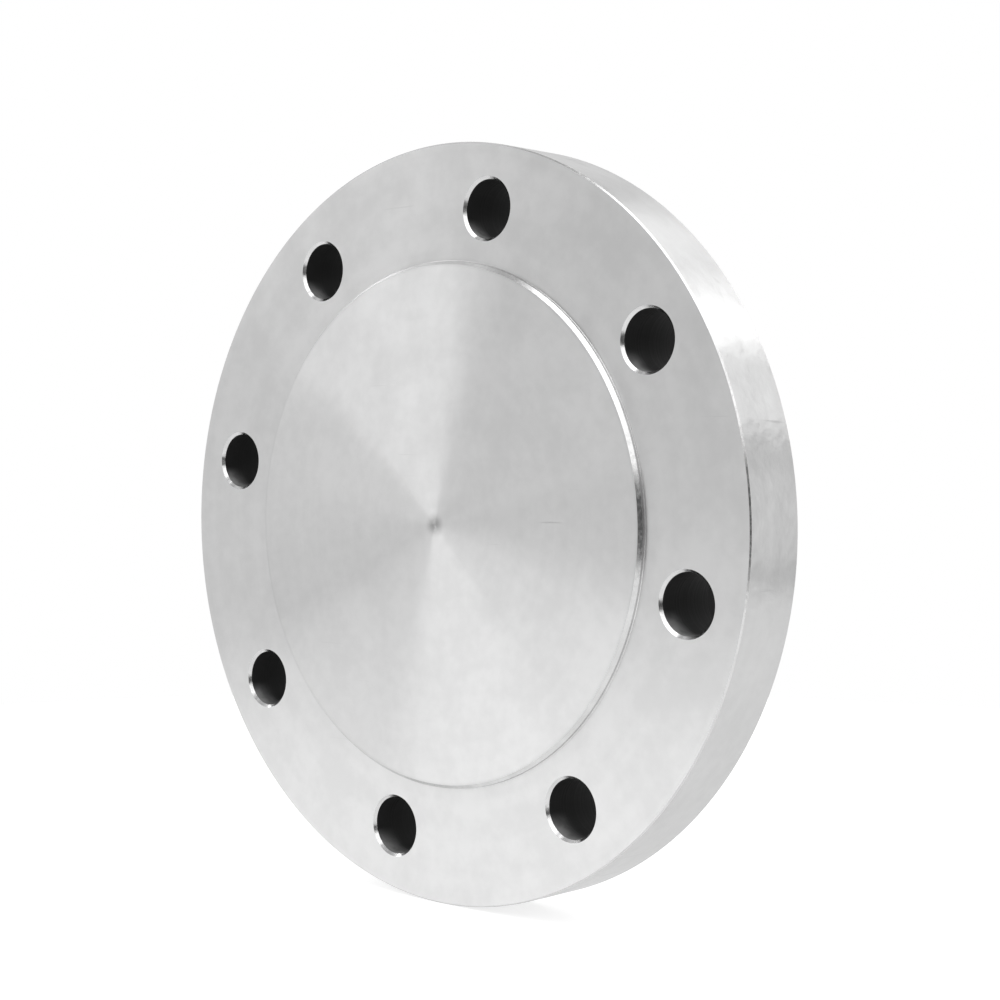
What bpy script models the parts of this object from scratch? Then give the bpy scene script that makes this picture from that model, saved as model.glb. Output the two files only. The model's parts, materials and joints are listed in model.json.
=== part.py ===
"""Raised-face blind flange, NPS 4 (DN 100) Class 150: one forged steel disc, turned all over and drilled.

Metres, +Z up. The disc stands on its rim, so its axis is Y. The raised face looks along -Y, and the
origin is the centre of that face.
"""

import math

import bpy

# The disc
OUTER_DIAMETER = 0.2286
THICKNESS = 0.0239  # over the raised face
RAISED_DIAMETER = 0.158
RAISED_HEIGHT = 0.002
RAISED_CHAMFER = 0.001
RIM_CHAMFER = 0.0004
FOOT_RADIUS = 0.0003  # fillet where the raised face meets the ring

# The bolt holes
HOLE_COUNT = 8
HOLE_DIAMETER = 0.0175
HOLE_CHAMFER = 0.0008  # at both mouths
BOLT_CIRCLE_DIAMETER = 0.1905
FIRST_HOLE_ANGLE = math.radians(-11.8)  # from +X towards +Z
CUTTER_OVERSHOOT = 0.001  # past each face

# The finish
STEEL_COLOUR = (0.62, 0.62, 0.61, 1.0)
STEEL_ROUGHNESS = 0.32
STEEL_METALLIC = 1.0

# How finely the round shapes are faceted
DISC_STEPS = 128
HOLE_STEPS = 32
FOOT_STEPS = 4
SHARP_EDGE = math.radians(30)
MERGE_DISTANCE = 0.00001

# Places along the disc's own axis, which is its local Z, from the raised face backwards
RING_Z = -RAISED_HEIGHT
BACK_Z = -THICKNESS


def clear_scene():
    """Removes every object, so that the script can be run again."""
    for existing in list(bpy.data.objects):
        bpy.data.objects.remove(existing, do_unlink=True)


def new_collection(name):
    """A collection linked to the scene."""
    collection = bpy.data.collections.new(name)
    bpy.context.scene.collection.children.link(collection)
    return collection


def machined_steel():
    """Bare turned steel."""
    material = bpy.data.materials.new("machined_steel")
    material.use_nodes = True
    shader = material.node_tree.nodes["Principled BSDF"]
    shader.inputs["Base Color"].default_value = STEEL_COLOUR
    shader.inputs["Roughness"].default_value = STEEL_ROUGHNESS
    shader.inputs["Metallic"].default_value = STEEL_METALLIC
    return material


def foot_fillet():
    """The concave quarter circle from the raised face's wall down to the ring, as (radius, z) points."""
    centre_r = RAISED_DIAMETER / 2 + FOOT_RADIUS
    centre_z = RING_Z + FOOT_RADIUS
    points = []
    for step in range(FOOT_STEPS + 1):
        angle = math.pi + step / FOOT_STEPS * math.pi / 2
        points.append((centre_r + FOOT_RADIUS * math.cos(angle), centre_z + FOOT_RADIUS * math.sin(angle)))
    return points


def disc_outline():
    """The disc's half section as (radius, z) points, from the raised face's centre to the back's."""
    raised_r = RAISED_DIAMETER / 2
    outer_r = OUTER_DIAMETER / 2
    raised_face = [(0.0, 0.0), (raised_r - RAISED_CHAMFER, 0.0), (raised_r, -RAISED_CHAMFER)]
    rim = [
        (outer_r - RIM_CHAMFER, RING_Z),
        (outer_r, RING_Z - RIM_CHAMFER),
        (outer_r, BACK_Z + RIM_CHAMFER),
        (outer_r - RIM_CHAMFER, BACK_Z),
    ]
    return raised_face + foot_fillet() + rim + [(0.0, BACK_Z)]


def hole_outline():
    """A bolt hole's half section as (radius, z) points, with a 45 degree mouth that runs past each face."""
    bore_r = HOLE_DIAMETER / 2
    mouth_r = bore_r + HOLE_CHAMFER + CUTTER_OVERSHOOT
    top = RING_Z + CUTTER_OVERSHOOT
    bottom = BACK_Z - CUTTER_OVERSHOOT
    return [
        (0.0, top),
        (mouth_r, top),
        (bore_r, RING_Z - HOLE_CHAMFER),
        (bore_r, BACK_Z + HOLE_CHAMFER),
        (mouth_r, bottom),
        (0.0, bottom),
    ]


def profile_mesh(name, outline):
    """A mesh of the outline's points joined end to end in the local XZ plane."""
    mesh = bpy.data.meshes.new(name)
    vertices = [(radius, 0.0, z) for radius, z in outline]
    edges = [(i, i + 1) for i in range(len(outline) - 1)]
    mesh.from_pydata(vertices, edges, [])
    return mesh


def turned(name, mesh, steps, collection):
    """An object that spins the profile mesh a full turn about its local Z."""
    solid = bpy.data.objects.new(name, mesh)
    collection.objects.link(solid)
    screw = solid.modifiers.new("Turned", "SCREW")
    screw.axis = "Z"
    screw.angle = math.tau
    screw.steps = steps
    screw.render_steps = steps
    screw.use_merge_vertices = True
    screw.merge_threshold = MERGE_DISTANCE
    return solid


def bolt_hole_cutters(axis):
    """One cutter for each bolt hole, on the bolt circle. They share one profile."""
    cutters = new_collection("bolt_hole_cutters")
    profile = profile_mesh("bolt_hole_profile", hole_outline())
    for number in range(HOLE_COUNT):
        angle = FIRST_HOLE_ANGLE + number * math.tau / HOLE_COUNT
        cutter = turned(f"bolt_hole_cutter_{number + 1}", profile, HOLE_STEPS, cutters)
        cutter.parent = axis
        cutter.location.x = BOLT_CIRCLE_DIAMETER / 2 * math.cos(angle)
        cutter.location.y = BOLT_CIRCLE_DIAMETER / 2 * math.sin(angle)
        cutter.hide_render = True
        cutter.display_type = "WIRE"
    return cutters


def flange_disc(axis, cutters, parts):
    """The whole flange: a turned disc with its bolt holes drilled through."""
    profile = profile_mesh("flange_disc", disc_outline())
    profile.materials.append(machined_steel())
    disc = turned("flange_disc", profile, DISC_STEPS, parts)
    disc.parent = axis
    drill = disc.modifiers.new("Bolt holes", "BOOLEAN")
    drill.operation = "DIFFERENCE"
    drill.solver = "EXACT"
    drill.operand_type = "COLLECTION"
    drill.collection = cutters
    return disc


def shade_round(solid):
    """Applies the object's modifiers, then shades its mesh smooth except across sharp edges."""
    depsgraph = bpy.context.evaluated_depsgraph_get()
    mesh = bpy.data.meshes.new_from_object(solid.evaluated_get(depsgraph))
    mesh.name = solid.name
    solid.modifiers.clear()
    solid.data = mesh
    mesh.shade_smooth()
    mesh.set_sharp_from_angle(angle=SHARP_EDGE)


def flange_axis(parts):
    """An empty that turns the disc's local +Z to the world's -Y."""
    axis = bpy.data.objects.new("flange_axis", None)
    axis.rotation_euler.x = math.pi / 2
    parts.objects.link(axis)
    return axis


def main():
    clear_scene()
    parts = new_collection("blind_flange")
    axis = flange_axis(parts)
    cutters = bolt_hole_cutters(axis)
    disc = flange_disc(axis, cutters, parts)
    shade_round(disc)


main()
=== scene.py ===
"""The looks of the blind flange: a finely turned disc in bare machined steel, on a white floor.

Metres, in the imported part's frame: the flange's axis is Y, its raised face looks along -Y, and Z
is up.
"""

import json
import math

import bpy
from mathutils import Matrix, Vector

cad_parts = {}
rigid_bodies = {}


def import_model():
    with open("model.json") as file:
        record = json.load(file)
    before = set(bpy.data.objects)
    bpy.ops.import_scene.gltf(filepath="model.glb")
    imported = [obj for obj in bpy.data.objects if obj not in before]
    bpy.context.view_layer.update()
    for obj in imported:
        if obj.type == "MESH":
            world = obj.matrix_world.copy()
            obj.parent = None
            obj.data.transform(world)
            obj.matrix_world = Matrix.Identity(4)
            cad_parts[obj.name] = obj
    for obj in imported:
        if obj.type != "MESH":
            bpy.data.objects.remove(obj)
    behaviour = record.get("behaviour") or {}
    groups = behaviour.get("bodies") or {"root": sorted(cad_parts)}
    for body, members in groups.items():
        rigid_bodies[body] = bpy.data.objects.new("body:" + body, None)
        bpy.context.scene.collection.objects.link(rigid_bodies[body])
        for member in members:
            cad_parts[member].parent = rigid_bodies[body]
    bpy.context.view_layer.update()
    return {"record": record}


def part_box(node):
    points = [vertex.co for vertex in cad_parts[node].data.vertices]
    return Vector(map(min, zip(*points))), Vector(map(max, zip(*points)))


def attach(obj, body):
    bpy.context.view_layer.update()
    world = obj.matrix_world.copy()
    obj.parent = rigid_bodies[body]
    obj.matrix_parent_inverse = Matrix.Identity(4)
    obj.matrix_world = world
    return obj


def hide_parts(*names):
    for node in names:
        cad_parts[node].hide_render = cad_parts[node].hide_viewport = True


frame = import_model()

# Sizes from the frame
NODE = "flange_disc"
LOW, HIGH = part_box(NODE)
MOUNTS = {mount["name"]: mount for mount in frame["record"]["mounts"]}
BOLTING = MOUNTS["raised_face"]["dims"]
OUTER_R = (HIGH.x - LOW.x) / 2
THICKNESS = HIGH.y - LOW.y
RAISED_FLAT_R = BOLTING["r_mm"] / 1000
BOLT_CIRCLE_R = BOLTING["pcd_mm"] / 2000
HOLE_R = BOLTING["hole_r_mm"] / 1000
HOLE_COUNT = BOLTING["count"]

# Sizes that the frame doesn't state
RAISED_HEIGHT = 0.002
RAISED_CHAMFER = 0.001
FOOT_RADIUS = 0.0003
RIM_CHAMFER = 0.0004
HOLE_CHAMFER = 0.0008
PIP_R = 0.0016  # the small dimple that the lathe's centre leaves
PIP_DEPTH = 0.00012
FIRST_HOLE_ANGLE = math.radians(-11.8)
STEP_R = RAISED_FLAT_R + RAISED_CHAMFER / 2  # the middle of the raised face's chamfer
CUTTER_OVERSHOOT = 0.001

# How fine the meshes are
FLOOR_STEPS = 128
DISC_STEPS = 512
HOLE_STEPS = 96
ARC_STEPS = 8
MERGE_DISTANCE = 0.000001
SHARP_EDGE = math.radians(25)
LARGE_FACE_WEIGHT = 100  # so that a large face stays flat up to a shared corner

# Each turned surface's grey, roughness and anisotropy. It is all one steel: the greys differ only
# to match the photo's brightness under these lamps, and the back's is a guess
# The greys are painted light and shade: one steel, with a darker grey on the rim and a lighter one
# on the raised face
TURNED_FINISHES_AND_PAINTED_LIGHT = {
    "raised_face": (0.755, 0.29, 1.0),
    "ring_face": (0.70, 0.32, 0.6),
    "rim": (0.50, 0.30, 0.6),
    "back_face": (0.62, 0.32, 0.6),
}
ACROSS_GROOVES = 0.25  # the anisotropy's rotation, a quarter turn from the tool marks

# The other details of the finish: greys are base colours, tones are shares of them, and noise
# scales are in features a metre
NOISE_LOW = 0.35  # nearly all of a noise's values lie between these two
NOISE_HIGH = 0.65
GROOVE_SCALE = 900.0  # the tool's fine rings
GROOVE_DEPTH = 0.000004
FEED_SCALE = 160.0  # wider rings, where the feed changed
CLOUD_SCALE = 55.0
MOTTLE_SCALE = 260.0
CLOUD_SHARE = 0.55  # what each of them adds to the tone
MOTTLE_SHARE = 0.3
FEED_SHARE = 0.15
STREAK_SHARE = -0.25
TONE_RANGE = 0.045
PATCH_RANGE = 0.05  # how far the roughness drifts from patch to patch, as a share of it
GROOVE_ROUGHNESS = 0.1  # what grooves and streaks add to the roughness, as shares of it
STREAK_ROUGHNESS = 0.3
FACE_WAVE = 12.0  # how many groove depths the surface undulates
RIM_WAVE = 150.0
STREAK_RELIEF = -0.6
STREAK_SCALE = (25.0, 40.0, 700.0)
STREAK_LEAN = math.radians(35)
STREAK_FADE = 0.74  # a streak starts where its noise passes this, and is full at the next
STREAK_FULL = 0.80
CENTRE_MARK_CORE = 0.0006  # the steel is darkest inside this radius, and fades out to the next
CENTRE_MARK_R = 0.0042
CENTRE_MARK_TONE = 0.60
STEP_SHADE_WIDTH = 0.0009  # how far the steel is darkened as painted shade on both sides of the raised face's step
STEP_SHADE_TONE = 0.92
# The edges' grey, like the turned surfaces' greys, is set for brightness under these lamps: painted
# light and shade
EDGE_GREY = 0.56
EDGE_SMOOTHEST = 0.15
EDGE_ROUGHEST = 0.25
NICK_SCALE = 900.0
RUB_SCALE = 140.0
RUB_RANGE = 0.05
# A bore's grey: near black as painted shade, lighter at the mouth's upward-facing low side as
# painted light
BORE_GREY = 0.30
BORE_SMOOTHEST = 0.5
BORE_ROUGHEST = 0.7
BORE_GLOSS = 0.06
DRILL_RING_SCALE = 1600.0
DRILL_RING_DEPTH = 0.00003
STAIN_SCALE = 220.0
STAIN_TONE = 0.6
BORE_PAINTED_LIGHT_DEPTH = 0.009
LOW_SIDE_FADE = 0.2  # how far upward a bore's wall looks where its painted light starts
LOW_SIDE_FULL = 0.75
PAINTED_SHADE_STRENGTH = 0.06  # strength of a bore's grey away from its painted light, as painted shade

# The studio: each softbox's bearing from -Y towards +X and height above the horizon, in degrees,
# then its width and height in metres and its power in watts. They are placed for the highlights
# that the photo shows from its own angle
SOFTBOX_DISTANCE = 2.0
SOFTBOXES = {
    "left": (-58.5, 9.5, 1.05, 0.90, 0.3),
    "left_high": (-56.0, 32.0, 0.80, 0.80, 2.3),
    "left_far": (-84.0, 24.0, 0.80, 0.80, 6.6),
    "above_camera": (42.0, 26.0, 1.10, 0.75, 3.4),
    "high_front": (36.0, 49.0, 0.90, 0.84, 4.9),
    "overhead": (12.0, 70.0, 1.00, 0.52, 4.2),
    "top_left": (-92.0, 48.0, 1.20, 1.30, 1.6),
    "right_back": (130.0, 2.5, 1.00, 0.78, 2.2),
    "right_back_high": (141.0, 23.0, 0.80, 0.50, 1.9),
    "high_back": (156.0, 36.5, 0.70, 0.50, 3.2),
    "back": (180.0, 43.5, 0.70, 0.50, 1.9),
    "back_low": (210.0, 32.0, 0.80, 0.60, 0.95),
    "horizon": (-45.0, -2.0, 1.50, 0.14, 0.25),
}
ROOM_LIGHT = 0.63
DARK_SIDE_ANGLE = math.radians(11)
DARK_SIDE_LIGHT = 0.12
FLOOR_RADIUS = 0.55
FLOOR_GREY = 0.55
FLOOR_ROUGHNESS = 0.8
FLOOR_GLOW = 0.66  # light that the floor gives off, to come out as white as the backdrop

# A dark patch of the backdrop, for the main picture alone. Two bolt holes that are black in the
# photo would otherwise show a white crescent there. The disc hides the rest of it in that picture,
# but low views near it, such as 30,3, show a black disc beside the flange
HIDDEN_SPOT_AIM = Vector((-0.6724, 0.7402, -0.0044))
HIDDEN_SPOT_ANGLE = math.radians(7.2)
HIDDEN_SPOT_SOFTNESS = 0.001
HIDDEN_SPOT_LIGHT = 0.018

# The camera
CAMERA_PLACE = Vector((0.4124, -0.4159, 0.0178))
CAMERA_AIM = Vector((0.0249, 0.002, 0.00778))
CAMERA_LENS = 70.2
CAMERA_SENSOR = 36.0


# ---------------------------------------------------------------- shape


def arc(centre_r, centre_z, radius, first_degrees, last_degrees, steps=ARC_STEPS):
    """Points of an arc in the half section, as (radius, z)."""
    points = []
    for step in range(steps + 1):
        angle = math.radians(first_degrees + (last_degrees - first_degrees) * step / steps)
        points.append((centre_r + radius * math.cos(angle), centre_z + radius * math.sin(angle)))
    return points


def disc_outline():
    """The disc's half section as (radius, z) points, from z = 0 at the raised face to the back."""
    ring_z = -RAISED_HEIGHT
    back_z = -THICKNESS
    raised_r = RAISED_FLAT_R + RAISED_CHAMFER
    pip = [(0.0, -PIP_DEPTH)]
    for step in range(1, ARC_STEPS + 1):
        share = step / ARC_STEPS
        pip.append((PIP_R * share, -PIP_DEPTH * (1 + math.cos(math.pi * share)) / 2))
    crest = [(RAISED_FLAT_R, 0.0), (raised_r, -RAISED_CHAMFER)]
    foot = arc(raised_r + FOOT_RADIUS, ring_z + FOOT_RADIUS, FOOT_RADIUS, 180, 270)
    rim = [
        (OUTER_R - RIM_CHAMFER, ring_z),
        (OUTER_R, ring_z - RIM_CHAMFER),
        (OUTER_R, back_z + RIM_CHAMFER),
        (OUTER_R - RIM_CHAMFER, back_z),
    ]
    return pip + crest + foot + rim + [(0.0, back_z)]


def hole_outline():
    """A bolt hole's half section, with a 45 degree mouth that runs past each face."""
    mouth_r = HOLE_R + HOLE_CHAMFER + CUTTER_OVERSHOOT
    top = -RAISED_HEIGHT + CUTTER_OVERSHOOT
    bottom = -THICKNESS - CUTTER_OVERSHOOT
    return [
        (0.0, top),
        (mouth_r, top),
        (HOLE_R, -RAISED_HEIGHT - HOLE_CHAMFER),
        (HOLE_R, -THICKNESS + HOLE_CHAMFER),
        (mouth_r, bottom),
        (0.0, bottom),
    ]


def turned(name, outline, steps, collection):
    """An object that spins an outline a full turn about its local Z."""
    mesh = bpy.data.meshes.new(name)
    edges = [(i, i + 1) for i in range(len(outline) - 1)]
    mesh.from_pydata([(radius, 0.0, z) for radius, z in outline], edges, [])
    solid = bpy.data.objects.new(name, mesh)
    collection.objects.link(solid)
    screw = solid.modifiers.new("Turned", "SCREW")
    screw.axis = "Z"
    screw.angle = math.tau
    screw.steps = steps
    screw.render_steps = steps
    screw.use_merge_vertices = True
    screw.merge_threshold = MERGE_DISTANCE
    return solid


def drilled_disc():
    """The disc with its bolt holes, as one mesh in the row frame. The cutters are removed."""
    work = bpy.data.collections.new("work")
    bpy.context.scene.collection.children.link(work)
    cutters = bpy.data.collections.new("cutters")
    bpy.context.scene.collection.children.link(cutters)
    disc = turned("disc", disc_outline(), DISC_STEPS, work)
    for number in range(HOLE_COUNT):
        angle = FIRST_HOLE_ANGLE + number * math.tau / HOLE_COUNT
        cutter = turned(f"cutter_{number}", hole_outline(), HOLE_STEPS, cutters)
        cutter.location = (BOLT_CIRCLE_R * math.cos(angle), BOLT_CIRCLE_R * math.sin(angle), 0.0)
    drill = disc.modifiers.new("Bolt holes", "BOOLEAN")
    drill.operation = "DIFFERENCE"
    drill.solver = "EXACT"
    drill.operand_type = "COLLECTION"
    drill.collection = cutters
    bpy.context.view_layer.update()
    depsgraph = bpy.context.evaluated_depsgraph_get()
    mesh = bpy.data.meshes.new_from_object(disc.evaluated_get(depsgraph))
    mesh.transform(Matrix.Rotation(math.pi / 2, 4, "X"))
    for used in [disc, *cutters.objects]:
        bpy.data.objects.remove(used)
    for collection in (work, cutters):
        bpy.data.collections.remove(collection)
    return mesh


# The disc's surfaces, in the order of its material slots
SURFACES = ("raised_face", "ring_face", "rim", "edges", "bores", "back_face")
SQUARE_ON = 0.99  # a face looks straight along a direction when their cosine passes this
SIDE_ON = 0.1


def surface_of(centre, normal):
    """The name of the surface that a face with this centre and normal belongs to."""
    radius = math.hypot(centre.x, centre.z)
    outward = (normal.x * centre.x + normal.z * centre.z) / max(radius, MERGE_DISTANCE)
    facing = -normal.y
    if facing > SQUARE_ON:
        return "raised_face" if radius < RAISED_FLAT_R else "ring_face"
    if radius < PIP_R:
        return "raised_face"
    if facing < -SQUARE_ON:
        return "back_face"
    if radius > OUTER_R - RIM_CHAMFER / 2 and outward > SQUARE_ON:
        return "rim"
    in_hole_band = abs(radius - BOLT_CIRCLE_R) < HOLE_R + HOLE_CHAMFER
    if in_hole_band and abs(facing) < SIDE_ON:
        return "bores"
    return "edges"


def shade(mesh):
    """Gives each face its surface's slot, and smooths the round surfaces between sharp edges."""
    for face in mesh.polygons:
        face.material_index = SURFACES.index(surface_of(face.center, face.normal))
    mesh.shade_smooth()
    mesh.set_sharp_from_angle(angle=SHARP_EDGE)


# ---------------------------------------------------------------- materials


def new_material(name, grey, roughness, metallic=1.0):
    """A plain grey material, metal unless stated."""
    material = bpy.data.materials.new(name)
    material.use_nodes = True
    shader = material.node_tree.nodes["Principled BSDF"]
    shader.inputs["Base Color"].default_value = (grey, grey, grey, 1.0)
    shader.inputs["Roughness"].default_value = roughness
    shader.inputs["Metallic"].default_value = metallic
    return material


class Nodes:
    """Short calls for building a material's node tree."""

    def __init__(self, material):
        self.tree = material.node_tree
        self.shader = self.tree.nodes["Principled BSDF"]

    def add(self, kind, **settings):
        """A new shader node of a kind, with its settings."""
        node = self.tree.nodes.new("ShaderNode" + kind)
        for name, value in settings.items():
            setattr(node, name, value)
        return node

    def link(self, output, target):
        """Feeds one socket with another's output."""
        self.tree.links.new(output, target)

    def maths(self, operation, first, second=0.0):
        """One calculation on two values, each a socket or a number."""
        node = self.add("Math", operation=operation)
        for socket, value in zip(node.inputs, (first, second)):
            if isinstance(value, (int, float)):
                socket.default_value = value
            else:
                self.link(value, socket)
        return node.outputs["Value"]

    def fit(self, value, low, high, new_low, new_high):
        """A value's range mapped smoothly on another."""
        node = self.add("MapRange", interpolation_type="SMOOTHSTEP")
        self.link(value, node.inputs["Value"])
        limits = {"From Min": low, "From Max": high, "To Min": new_low, "To Max": new_high}
        for name, limit in limits.items():
            node.inputs[name].default_value = limit
        return node.outputs["Result"]

    def noise(self, place, scale, detail, dimensions="3D"):
        """Noise about a point, or along a line with 1D."""
        node = self.add("TexNoise", noise_dimensions=dimensions)
        node.inputs["Scale"].default_value = scale
        node.inputs["Detail"].default_value = detail
        self.link(place, node.inputs["W" if dimensions == "1D" else "Vector"])
        return node.outputs["Fac"]

    def point(self):
        """The shaded point, in the flange's own frame."""
        return self.add("TexCoord").outputs["Object"]

    def from_axis(self, point):
        """A point's distance from the flange's axis."""
        across = self.add("VectorMath", operation="MULTIPLY")
        across.inputs[1].default_value = (1.0, 0.0, 1.0)
        self.link(point, across.inputs[0])
        radius = self.add("VectorMath", operation="LENGTH")
        self.link(across.outputs["Vector"], radius.inputs[0])
        return radius.outputs["Value"]

    def depth(self, point):
        """How far a point lies behind the raised face."""
        along = self.add("SeparateXYZ")
        self.link(point, along.inputs["Vector"])
        return along.outputs["Y"]

    def sum(self, *parts):
        """The sum of values, each given as (value, weight)."""
        total = 0.0
        for value, weight in parts:
            total = self.maths("ADD", total, self.maths("MULTIPLY", value, weight))
        return total

    def streaks(self, point):
        """A few long, faint handling marks across the surface: 1 in the mark and 0 beside it."""
        turn = self.add("Mapping")
        turn.inputs["Rotation"].default_value = (0.0, STREAK_LEAN, 0.0)
        turn.inputs["Scale"].default_value = STREAK_SCALE
        self.link(point, turn.inputs["Vector"])
        marks = self.noise(turn.outputs["Vector"], scale=1.0, detail=1.0)
        return self.fit(marks, STREAK_FADE, STREAK_FULL, 0.0, 1.0)

    def step_painted_shade(self, radius):
        """The tone beside the raised face's step, darkened there as painted shade. The photo is
        darker there; dulling is a guess.
        """
        from_step = self.maths("ABSOLUTE", self.maths("SUBTRACT", radius, STEP_R))
        near = RAISED_CHAMFER / 2
        return self.fit(from_step, near, near + STEP_SHADE_WIDTH, STEP_SHADE_TONE, 1.0)

    def grey(self, strength):
        """The material's own colour times a strength."""
        scaled = self.add("VectorMath", operation="SCALE")
        scaled.inputs["Vector"].default_value = self.shader.inputs["Base Color"].default_value[:3]
        self.link(strength, scaled.inputs["Scale"])
        self.link(scaled.outputs["Vector"], self.shader.inputs["Base Color"])

    def bump(self, height, depth):
        """Relief of a real depth in metres."""
        relief = self.add("Bump")
        relief.inputs["Distance"].default_value = depth
        self.link(height, relief.inputs["Height"])
        self.link(relief.outputs["Normal"], self.shader.inputs["Normal"])


def turned_steel(surface):
    """A surface's steel, with circular tool marks that stretch its highlights across them.

    On the rim the tool travelled along the axis. The two faces beside the raised face's step are
    darkened there with painted shade.
    """
    grey, roughness, anisotropy = TURNED_FINISHES_AND_PAINTED_LIGHT[surface]
    material = new_material(f"{surface}_steel", grey, roughness)
    nodes = Nodes(material)
    nodes.shader.inputs["Anisotropic"].default_value = anisotropy
    nodes.shader.inputs["Anisotropic Rotation"].default_value = ACROSS_GROOVES
    tangent = nodes.add("Tangent", direction_type="RADIAL", axis="Y")
    nodes.link(tangent.outputs["Tangent"], nodes.shader.inputs["Tangent"])
    point = nodes.point()
    radius = nodes.from_axis(point)
    tool_path = nodes.depth(point) if surface == "rim" else radius
    grooves = nodes.noise(tool_path, GROOVE_SCALE, detail=3.0, dimensions="1D")
    feed = nodes.noise(tool_path, FEED_SCALE, detail=2.0, dimensions="1D")
    clouds = nodes.noise(point, CLOUD_SCALE, detail=4.0)
    mottle = nodes.noise(point, MOTTLE_SCALE, detail=3.0)
    streaks = nodes.streaks(point)
    tone = nodes.sum(
        (clouds, CLOUD_SHARE),
        (mottle, MOTTLE_SHARE),
        (feed, FEED_SHARE),
        (streaks, STREAK_SHARE),
    )
    strength = nodes.fit(tone, NOISE_LOW, NOISE_HIGH, 1.0 - TONE_RANGE, 1.0 + TONE_RANGE)
    centre_mark = nodes.fit(radius, CENTRE_MARK_CORE, CENTRE_MARK_R, CENTRE_MARK_TONE, 1.0)
    strength = nodes.maths("MULTIPLY", strength, centre_mark)
    # painted shade beside the raised face's step
    if surface in ("raised_face", "ring_face"):
        strength = nodes.maths("MULTIPLY", strength, nodes.step_painted_shade(radius))
    nodes.grey(strength)
    patchy = nodes.fit(clouds, NOISE_LOW, NOISE_HIGH, 1.0 - PATCH_RANGE, 1.0 + PATCH_RANGE)
    rougher = nodes.sum(
        (patchy, roughness),
        (grooves, GROOVE_ROUGHNESS * roughness),
        (streaks, STREAK_ROUGHNESS * roughness),
    )
    nodes.link(rougher, nodes.shader.inputs["Roughness"])
    wave = RIM_WAVE if surface == "rim" else FACE_WAVE
    nodes.bump(nodes.sum((grooves, 1.0), (clouds, wave), (streaks, STREAK_RELIEF)), GROOVE_DEPTH)
    return material


def edge_steel():
    """The chamfers and the raised face's wall: smoother cuts, nicked and worn here and there."""
    material = new_material("edge_steel", EDGE_GREY, EDGE_ROUGHEST)
    nodes = Nodes(material)
    point = nodes.point()
    nicks = nodes.noise(point, NICK_SCALE, detail=3.0)
    rub = nodes.noise(point, RUB_SCALE, detail=3.0)
    nodes.grey(nodes.fit(rub, NOISE_LOW, NOISE_HIGH, 1.0 - RUB_RANGE, 1.0 + RUB_RANGE))
    roughness = nodes.fit(nicks, NOISE_LOW, NOISE_HIGH, EDGE_SMOOTHEST, EDGE_ROUGHEST)
    nodes.link(roughness, nodes.shader.inputs["Roughness"])
    nodes.bump(nicks, GROOVE_DEPTH)
    return material


def bore_steel():
    """The drilled bores: near black and not metal, because they are black in the photo.

    The near black is painted shade in the holes. The drill's rings are a guess. The lighter low
    side of the mouth, where the wall faces up, is painted light.
    """
    material = new_material("bore_steel", BORE_GREY, BORE_ROUGHEST, metallic=0.0)
    nodes = Nodes(material)
    nodes.shader.inputs["Specular IOR Level"].default_value = BORE_GLOSS
    point = nodes.point()
    depth = nodes.depth(point)
    rings = nodes.noise(depth, DRILL_RING_SCALE, detail=3.0, dimensions="1D")
    stain = nodes.noise(point, STAIN_SCALE, detail=4.0)
    stain_tone = nodes.fit(stain, NOISE_LOW, NOISE_HIGH, STAIN_TONE, 1.0)
    # painted light on the mouth's low side, where the wall faces up; painted shade elsewhere
    mouth = nodes.fit(depth, RAISED_HEIGHT, RAISED_HEIGHT + BORE_PAINTED_LIGHT_DEPTH, 1.0, 0.0)
    upward = nodes.add("SeparateXYZ")
    nodes.link(nodes.add("NewGeometry").outputs["Normal"], upward.inputs["Vector"])
    low_side = nodes.fit(upward.outputs["Z"], LOW_SIDE_FADE, LOW_SIDE_FULL, 0.0, 1.0)
    painted_low_light = nodes.maths("MULTIPLY", nodes.maths("MULTIPLY", mouth, low_side), stain_tone)
    nodes.grey(nodes.sum((painted_low_light, 1.0 - PAINTED_SHADE_STRENGTH), (1.0, PAINTED_SHADE_STRENGTH)))
    roughness = nodes.fit(rings, NOISE_LOW, NOISE_HIGH, BORE_SMOOTHEST, BORE_ROUGHEST)
    nodes.link(roughness, nodes.shader.inputs["Roughness"])
    nodes.bump(rings, DRILL_RING_DEPTH)
    return material


def flange():
    """The flange's one piece, with a material for each of its surfaces."""
    mesh = drilled_disc()
    mesh.name = "flange"
    materials = {surface: turned_steel(surface) for surface in TURNED_FINISHES_AND_PAINTED_LIGHT}
    materials["edges"] = edge_steel()
    materials["bores"] = bore_steel()
    mesh.materials.clear()
    for name in SURFACES:
        mesh.materials.append(materials[name])
    shade(mesh)
    piece = bpy.data.objects.new("flange", mesh)
    bpy.context.scene.collection.objects.link(piece)
    even = piece.modifiers.new("Even shading", "WEIGHTED_NORMAL")
    even.keep_sharp = True
    even.weight = LARGE_FACE_WEIGHT
    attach(piece, "root")
    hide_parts(NODE)
    return piece


# ---------------------------------------------------------------- studio


def floor():
    """A round white floor under the flange, which it stands on."""
    place = (0, 0, LOW.z)
    bpy.ops.mesh.primitive_circle_add(
        vertices=FLOOR_STEPS, radius=FLOOR_RADIUS, fill_type="NGON", location=place
    )
    ground = bpy.context.object
    ground.name = "floor"
    material = new_material("floor_white", FLOOR_GREY, FLOOR_ROUGHNESS, metallic=0.0)
    shader = material.node_tree.nodes["Principled BSDF"]
    shader.inputs["Emission Color"].default_value = (1, 1, 1, 1)
    shader.inputs["Emission Strength"].default_value = FLOOR_GLOW
    ground.data.materials.append(material)


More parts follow.
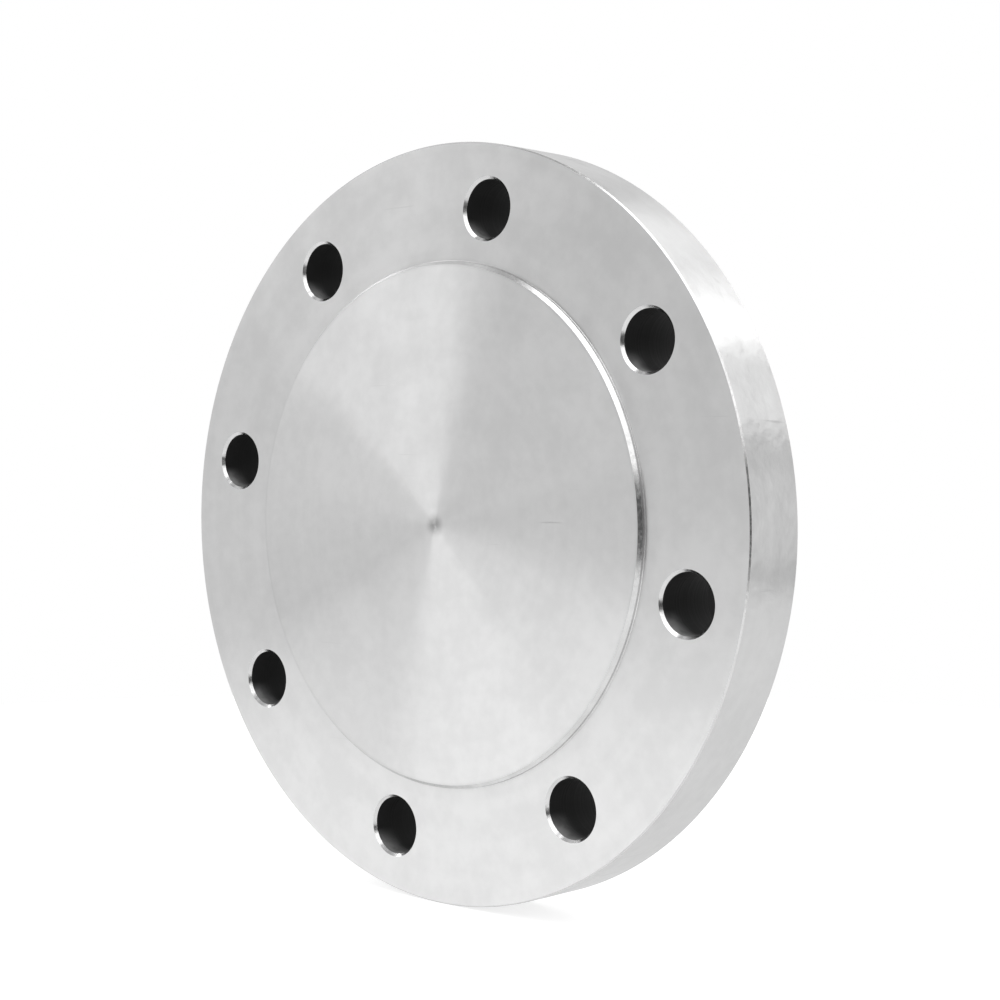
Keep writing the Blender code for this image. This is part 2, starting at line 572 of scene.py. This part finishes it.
def softbox(name, bearing, height, wide, tall, power):
    """A soft rectangular lamp that faces the flange's centre."""
    lamp = bpy.data.lights.new(name, "AREA")
    lamp.shape = "RECTANGLE"
    lamp.size = wide
    lamp.size_y = tall
    lamp.energy = power
    around = math.radians(bearing)
    up = math.radians(height)
    level = math.cos(up)
    outward = Vector((math.sin(around) * level, -math.cos(around) * level, math.sin(up)))
    box = bpy.data.objects.new(name, lamp)
    box.location = outward * SOFTBOX_DISTANCE
    box.rotation_euler = (-outward).to_track_quat("-Z", "Y").to_euler()
    box.visible_camera = False
    bpy.context.scene.collection.objects.link(box)


def camera():
    """The camera that takes the main picture."""
    lens = bpy.data.cameras.new("camera")
    lens.lens = CAMERA_LENS
    lens.sensor_width = CAMERA_SENSOR
    eye = bpy.data.objects.new("camera", lens)
    eye.location = CAMERA_PLACE
    eye.rotation_euler = (CAMERA_AIM - CAMERA_PLACE).to_track_quat("-Z", "Y").to_euler()
    bpy.context.scene.collection.objects.link(eye)
    bpy.context.scene.camera = eye


def spot(tree, aim, angle, softness):
    """How far a direction of the room lies inside a round spot: 1 at its middle, 0 outside."""
    towards = tree.nodes.new("ShaderNodeTexCoord")
    along = tree.nodes.new("ShaderNodeVectorMath")
    along.operation = "DOT_PRODUCT"
    along.inputs[1].default_value = aim
    tree.links.new(towards.outputs["Generated"], along.inputs[0])
    inside = tree.nodes.new("ShaderNodeMapRange")
    inside.interpolation_type = "SMOOTHSTEP"
    inside.inputs["From Min"].default_value = math.cos(angle + softness)
    inside.inputs["From Max"].default_value = math.cos(angle)
    tree.links.new(along.outputs["Value"], inside.inputs["Value"])
    return inside.outputs["Result"]


def blend(tree, share, first, second):
    """Two strengths mixed: the first where the share is 0 and the second where it is 1."""
    mix = tree.nodes.new("ShaderNodeMix")
    for name, value in (("Factor", share), ("A", first), ("B", second)):
        if isinstance(value, float):
            mix.inputs[name].default_value = value
        else:
            tree.links.new(value, mix.inputs[name])
    return mix.outputs["Result"]


def room():
    """An even grey light, darker around the main camera, and a white backdrop with a dark patch.

    Only camera rays see the backdrop, so the patch changes no light on the flange.
    """
    sky = bpy.data.worlds.new("room")
    bpy.context.scene.world = sky
    sky.use_nodes = True
    tree = sky.node_tree
    behind = spot(tree, HIDDEN_SPOT_AIM, HIDDEN_SPOT_ANGLE, HIDDEN_SPOT_SOFTNESS)
    around_camera = spot(tree, CAMERA_PLACE.normalized(), DARK_SIDE_ANGLE, DARK_SIDE_ANGLE)
    backdrop = blend(tree, behind, 1.0, HIDDEN_SPOT_LIGHT)
    light = blend(tree, around_camera, ROOM_LIGHT, DARK_SIDE_LIGHT)
    seen = tree.nodes.new("ShaderNodeLightPath")
    background = tree.nodes["Background"]
    background.inputs["Color"].default_value = (1, 1, 1, 1)
    strength = blend(tree, seen.outputs["Is Camera Ray"], light, backdrop)
    tree.links.new(strength, background.inputs["Strength"])
    bpy.context.scene.view_settings.view_transform = "Standard"


camera()
room()
floor()
for softbox_name, setting in SOFTBOXES.items():
    softbox(softbox_name, *setting)
flange()
